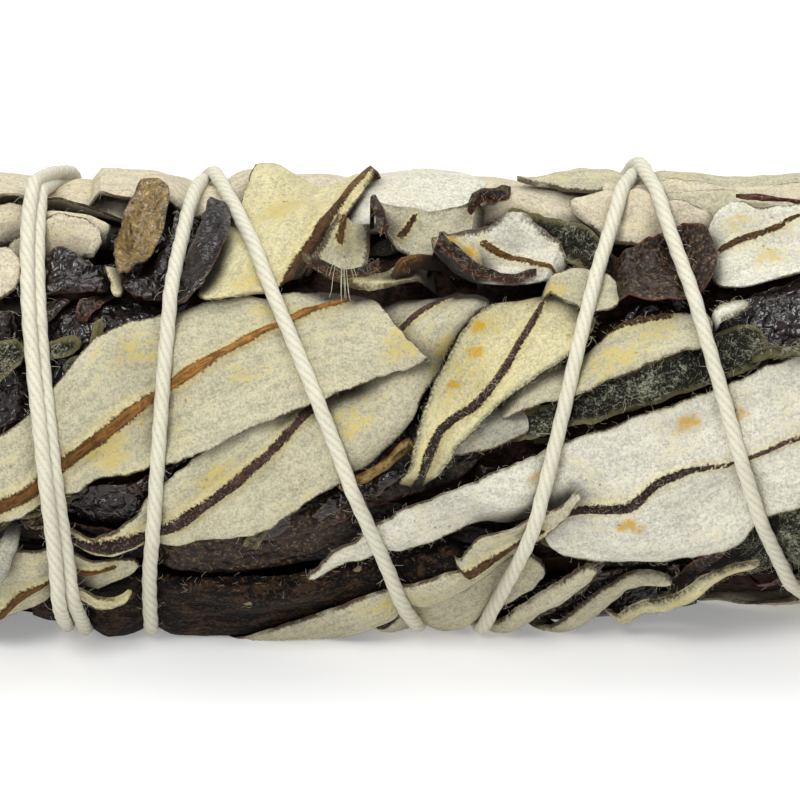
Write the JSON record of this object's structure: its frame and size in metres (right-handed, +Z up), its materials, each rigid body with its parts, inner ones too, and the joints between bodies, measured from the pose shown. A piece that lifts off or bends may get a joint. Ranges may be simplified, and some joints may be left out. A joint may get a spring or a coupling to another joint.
{
  "type": "sage bunch",
  "caption": "Bunch of dried white sage, felted leaves twisted along the stems and bound criss-cross with cotton string, lying on its side.",
  "frame": {"origin": "on the resting plane, under the middle of the bunch", "axes": "+X along the bunch from the cut stems to the leaf tips, +Z up, the pictured side faces -Y"},
  "size_m": [0.0997, 0.0304, 0.0285],
  "materials": {
    "leaf": "felted, matt",
    "stem": "dry bark, matt",
    "string": "twisted cotton"
  },
  "bodies": {
    "root": {"sprig_1_leaves": "leaf", "sprig_2_leaves": "leaf", "sprig_3_leaves": "leaf", "sprig_4_leaves": "leaf", "sprig_5_leaves": "leaf", "sprig_1_stem": "stem", "sprig_2_stem": "stem", "sprig_3_stem": "stem", "sprig_4_stem": "stem", "sprig_5_stem": "stem", "string": "string"}
  },
  "joints": []
}
